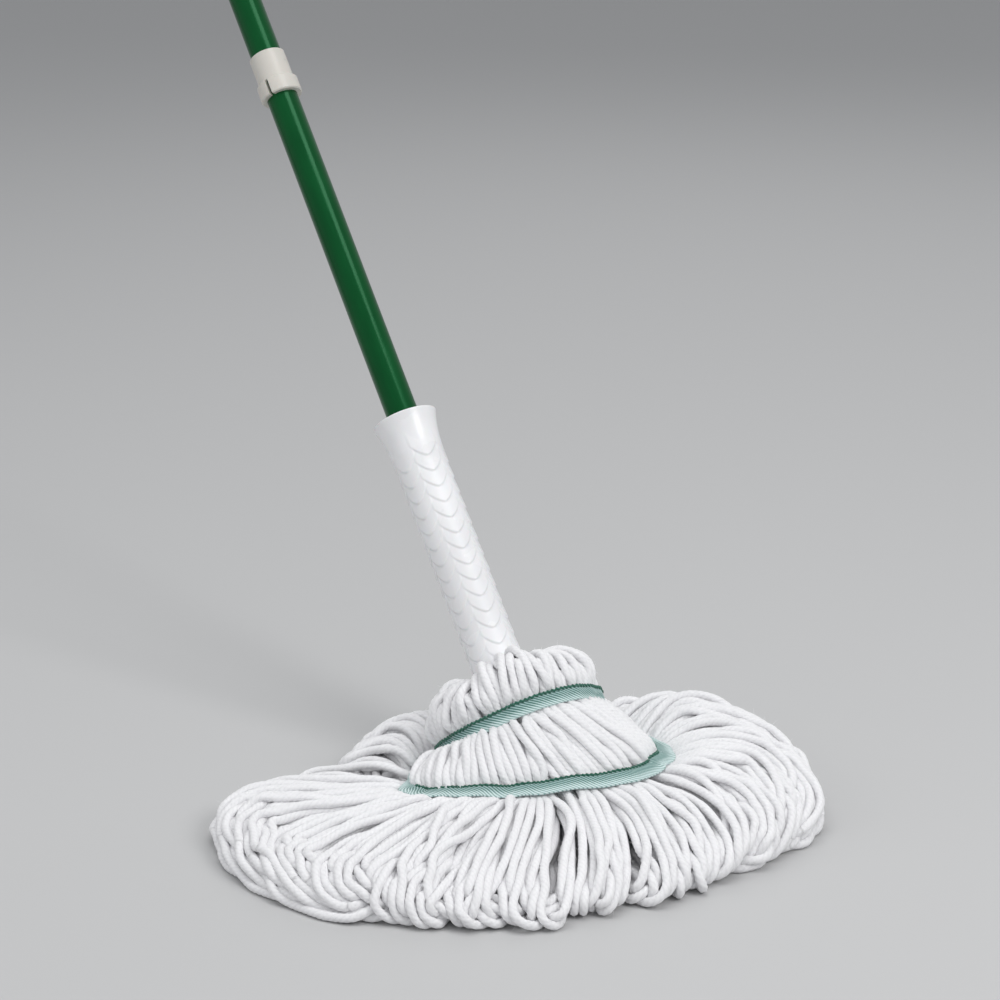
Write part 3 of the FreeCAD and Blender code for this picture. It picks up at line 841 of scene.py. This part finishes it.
def ramp(tree, factor, stops):
    """A colour ramp from (place, colour) stops."""
    added = node(tree, "ShaderNodeValToRGB", Fac=factor)
    elements = added.color_ramp.elements
    while len(elements) < len(stops):
        elements.new(0.5)
    for element, (place, colour) in zip(elements, stops):
        element.position = place
        element.color = (*colour, 1)
    return added.outputs["Color"]


def noise(tree, scale, detail=4.0, stretch=(1, 1, 1)):
    place = node(tree, "ShaderNodeTexCoord").outputs["Object"]
    sized = node(tree, "ShaderNodeMapping", Vector=place, Scale=stretch).outputs[0]
    return node(tree, "ShaderNodeTexNoise", Vector=sized, Scale=scale, Detail=detail).outputs["Fac"]


def attribute(tree, name):
    return node(tree, "ShaderNodeAttribute", {"attribute_name": name}).outputs["Fac"]


def bump(tree, shader, height, distance, strength=1.0):
    """distance is in mm."""
    made = node(tree, "ShaderNodeBump", Height=height, Distance=distance * MM, Strength=strength)
    tree.links.new(made.outputs[0], shader.inputs["Normal"])


def tinted(colour, share):
    return tuple(min(1.0, channel * share) for channel in colour)


def vary(tree, shader, colour, roughness, scale, spread, stretch=(1, 1, 1)):
    """Let colour and roughness drift slightly over a surface, as moulding and handling leave them."""
    drift = noise(tree, scale, 5.0, stretch)
    colours = ramp(tree, drift, [(0.35, tinted(colour, 1 - spread)), (0.65, tinted(colour, 1 + spread))])
    tree.links.new(colours, shader.inputs["Base Color"])
    rough = node(tree, "ShaderNodeMapRange", Value=drift, From_Min=0.35, From_Max=0.65,
                 To_Min=roughness * 0.85, To_Max=roughness * 1.2)
    tree.links.new(rough.outputs[0], shader.inputs["Roughness"])


def plastic(name, colour, roughness, grain, coat=0.0):
    made, tree, shader = material(name, colour, roughness)
    vary(tree, shader, colour, roughness, 30, 0.03)
    adjust(shader, Coat_Weight=coat, Coat_Roughness=0.25, Subsurface_Weight=0.05, Subsurface_Scale=0.002)
    bump(tree, shader, noise(tree, 1400), grain)
    return made


def paint(name, colour):
    """Baked enamel on steel tube: glossy, with a faint orange peel and fine rubbing."""
    made, tree, shader = material(name, colour, 0.2)
    vary(tree, shader, colour, 0.22, 25, 0.1, (6, 1, 1))
    adjust(shader, Specular_IOR_Level=0.5, Specular_Tint=(0.25, 1, 0.5, 1),
           Coat_Weight=0.1, Coat_Roughness=0.06)
    bump(tree, shader, noise(tree, 260, 2.0), 0.02, 0.6)
    return made


def steel(name, colour):
    made, tree, shader = material(name, colour, 0.35)
    vary(tree, shader, colour, 0.35, 500, 0.12, (1, 1, 0.1))
    adjust(shader, Metallic=1.0)
    bump(tree, shader, noise(tree, 900, 4.0, (1, 1, 0.1)), 0.02)
    return made


def yarn_material():
    """Soft cotton, fuzzy: painted shade makes it a little darker in the valleys between the plies than on
    their crests.
    """
    made, tree, shader = material("yarn", (0.8, 0.8, 0.82), 0.95)
    fluff = maths(tree, "MULTIPLY", noise(tree, 520, 6.0), 0.85)
    # The crest attribute paints shade into the valleys between the plies, where the plies shade each other.
    mixed = maths(tree, "ADD", maths(tree, "MULTIPLY", attribute(tree, "crest"), 0.25), fluff)
    colours = ramp(tree, mixed, [(0.2, (0.83, 0.825, 0.84)), (0.6, (0.92, 0.915, 0.93)),
                                 (0.95, (0.96, 0.955, 0.965))])
    tree.links.new(colours, shader.inputs["Base Color"])
    adjust(shader, Sheen_Weight=0.45, Sheen_Roughness=0.6, Specular_IOR_Level=0.2,
           Subsurface_Weight=0.25, Subsurface_Scale=0.003, Subsurface_Radius=(1, 1, 1))
    lumps = maths(tree, "MULTIPLY_ADD", noise(tree, 420), 0.9, noise(tree, 1500, 5.0))
    bump(tree, shader, lumps, 0.6, 0.8)
    return made


def tape_material():
    """Mint twill: slanting ribs, darker by the stitched edge and paler by the selvage. The ribs' stripes of
    tone are partly the weave's own and partly painted highlight on their crests and painted shade between
    them.
    """
    made, tree, shader = material("tape", (0.3, 0.5, 0.45), 0.85)
    across = attribute(tree, "across")
    slanted = maths(tree, "ADD", attribute(tree, "along"), maths(tree, "MULTIPLY", across, TWILL_SLANT))
    # Rib tone: the weave's own stripes, plus painted highlight on the rib crests and painted shade in the
    # grooves.
    rib = maths(tree, "SINE", maths(tree, "MULTIPLY", slanted, 2 * math.pi / TWILL_PITCH))
    zone = node(tree, "ShaderNodeMapRange", {"interpolation_type": "SMOOTHSTEP"}, Value=across,
                From_Min=-5.5, From_Max=1.5, To_Min=0.8, To_Max=0.28).outputs[0]
    shade = maths(tree, "ADD", zone, maths(tree, "MULTIPLY", rib, 0.4))
    shade = maths(tree, "ADD", shade, maths(tree, "MULTIPLY_ADD", noise(tree, 700), 0.3, -0.15))
    colours = ramp(tree, shade, [(0.0, (0.06, 0.17, 0.15)), (0.3, (0.16, 0.30, 0.28)),
                                 (0.6, (0.38, 0.55, 0.53)), (0.9, (0.66, 0.79, 0.78))])
    tree.links.new(colours, shader.inputs["Base Color"])
    adjust(shader, Sheen_Weight=0.3)
    bump(tree, shader, noise(tree, 2200, 3.0), 0.25, 0.7)
    return made


def thread_material():
    made, tree, shader = material("thread", (0.01, 0.1, 0.06), 0.7)
    vary(tree, shader, (0.012, 0.11, 0.07), 0.7, 900, 0.35)
    adjust(shader, Sheen_Weight=0.3)
    bump(tree, shader, noise(tree, 2500), 0.1)
    return made


YARN = yarn_material()
TAPE = tape_material()
THREAD = thread_material()
SLEEVE = plastic("sleeve", (0.87, 0.87, 0.88), 0.28, 0.01, 0.35)

CAD_MATERIALS = [
    (paint("paint", (0.001, 0.057, 0.012)), ["handle_tube"]),
    (plastic("cap", (0.02, 0.12, 0.05), 0.35, 0.03), ["hang_cap"]),
    (plastic("ivory", (0.62, 0.595, 0.545), 0.33, 0.03, 0.2),
     ["stop_collar", "split_ring", "collar_pins"]),
    (plastic("white", (0.8, 0.8, 0.78), 0.42, 0.04),
     ["tip_plug", "yarn_spool", "hub_cap", "foot_ring", "mouth_seat"]),
    (plastic("bush", (0.72, 0.71, 0.66), 0.5, 0.04),
     ["lower_bush", "upper_bush", "bush_retainer"]),
    (steel("steel", (0.6, 0.6, 0.62)),
     ["hub_washer", "hub_screw", "hub_cross_pin", "hub_tie_wires", "foot_rivets", "foot_tie_wires"]),
]


def dress_cad_nodes():
    for made, names in CAD_MATERIALS:
        for name in names:
            materials = frame["nodes"][name].data.materials
            materials.clear()
            materials.append(made)


# ---------------------------------------------------------------- camera, light and floor
# Metres and degrees.

PHOTO_AZIMUTH = -33.7            # where 0 looks along +Y
PHOTO_TILT = 17.2                # below the horizon
CAMERA_BACK = 1.651
CAMERA_LEFT = 0.034
CAMERA_UP = 0.722
LENS = 98.4                      # mm, on a sensor 36 mm wide
FLOOR_HALF = 20.0

# Each light: watts, width, direction (to the camera's right), distance, height, and whether
# shiny surfaces mirror it.
LIGHTS = {
    "key": (21, 1.0, 50, 1.9, 1.7, True),
    "top": (14, 1.6, -60, 0.5, 2.4, False),
    "strip": (7, 0.9, 61, 0.68, 2.4, True),
    "fill": (8, 1.6, -70, 2.2, 1.2, False),
    "back": (7, 1.2, 170, 2.2, 1.8, True),
}
AIM = Vector((0, 0.05, 0.1))


def add_camera():
    turn = math.radians(PHOTO_AZIMUTH)
    forward = Vector((-math.sin(turn), math.cos(turn), 0))
    right = Vector((math.cos(turn), math.sin(turn), 0))
    camera = bpy.data.objects.new("camera", bpy.data.cameras.new("camera"))
    camera.data.lens = LENS
    camera.data.sensor_width = 36
    camera.location = forward * -CAMERA_BACK + right * -CAMERA_LEFT + Vector((0, 0, CAMERA_UP))
    camera.rotation_euler = (math.radians(90 - PHOTO_TILT), 0, turn)
    bpy.context.scene.collection.objects.link(camera)
    bpy.context.scene.camera = camera


def add_light(name, energy, size, azimuth, distance, height, mirrored):
    """A square soft light, aimed at the head."""
    turn = math.radians(PHOTO_AZIMUTH + azimuth)
    place = Vector((math.sin(turn) * distance, -math.cos(turn) * distance, height))
    light = bpy.data.objects.new(name, bpy.data.lights.new(name, "AREA"))
    light.data.energy = energy
    light.data.size = size
    light.location = place
    light.rotation_euler = (AIM - place).to_track_quat("-Z", "Y").to_euler()
    light.visible_glossy = mirrored
    bpy.context.scene.collection.objects.link(light)


def add_floor():
    corners = [(x * FLOOR_HALF, y * FLOOR_HALF, 0) for x, y in ((-1, -1), (1, -1), (1, 1), (-1, 1))]
    mesh = bpy.data.meshes.new("floor")
    mesh.from_pydata(corners, [], [(0, 1, 2, 3)])
    floor = finish_mesh("floor", mesh, None, [False])
    floor.data.materials.append(material("floor", (0.55, 0.55, 0.55), 0.75)[0])


def add_sky():
    world = bpy.data.worlds.new("studio")
    bpy.context.scene.world = world
    world.use_nodes = True
    background = world.node_tree.nodes["Background"]
    adjust(background, Color=(0.95, 0.97, 1, 1), Strength=0.42)


# ---------------------------------------------------------------- the scene

add_camera()
add_floor()
add_sky()
for name, settings in LIGHTS.items():
    add_light(name, *settings)
bpy.context.scene.view_settings.view_transform = "Standard"

dress_cad_nodes()
wringer_sleeve()
strands = build_strands()
ruff_yarn(strands)
middle_yarn(strands)
skirt_yarn(strands)
yarn_bundle("hub_bundle", "handle", "hub_yarn", size=2.3, radius=15.2, bottom=33.8, top=53.2)
yarn_bundle("foot_bundle", "sleeve", "foot_yarn", size=1.6, radius=21.9, bottom=65.4, top=76.8)
tape("upper_band", "sleeve", "upper_tape", upper_tape_line(), UPPER_TAPE_WIDE)
tape("lower_band", "bushes", "lower_tape", lower_tape_line(strands), LOWER_TAPE_WIDE)
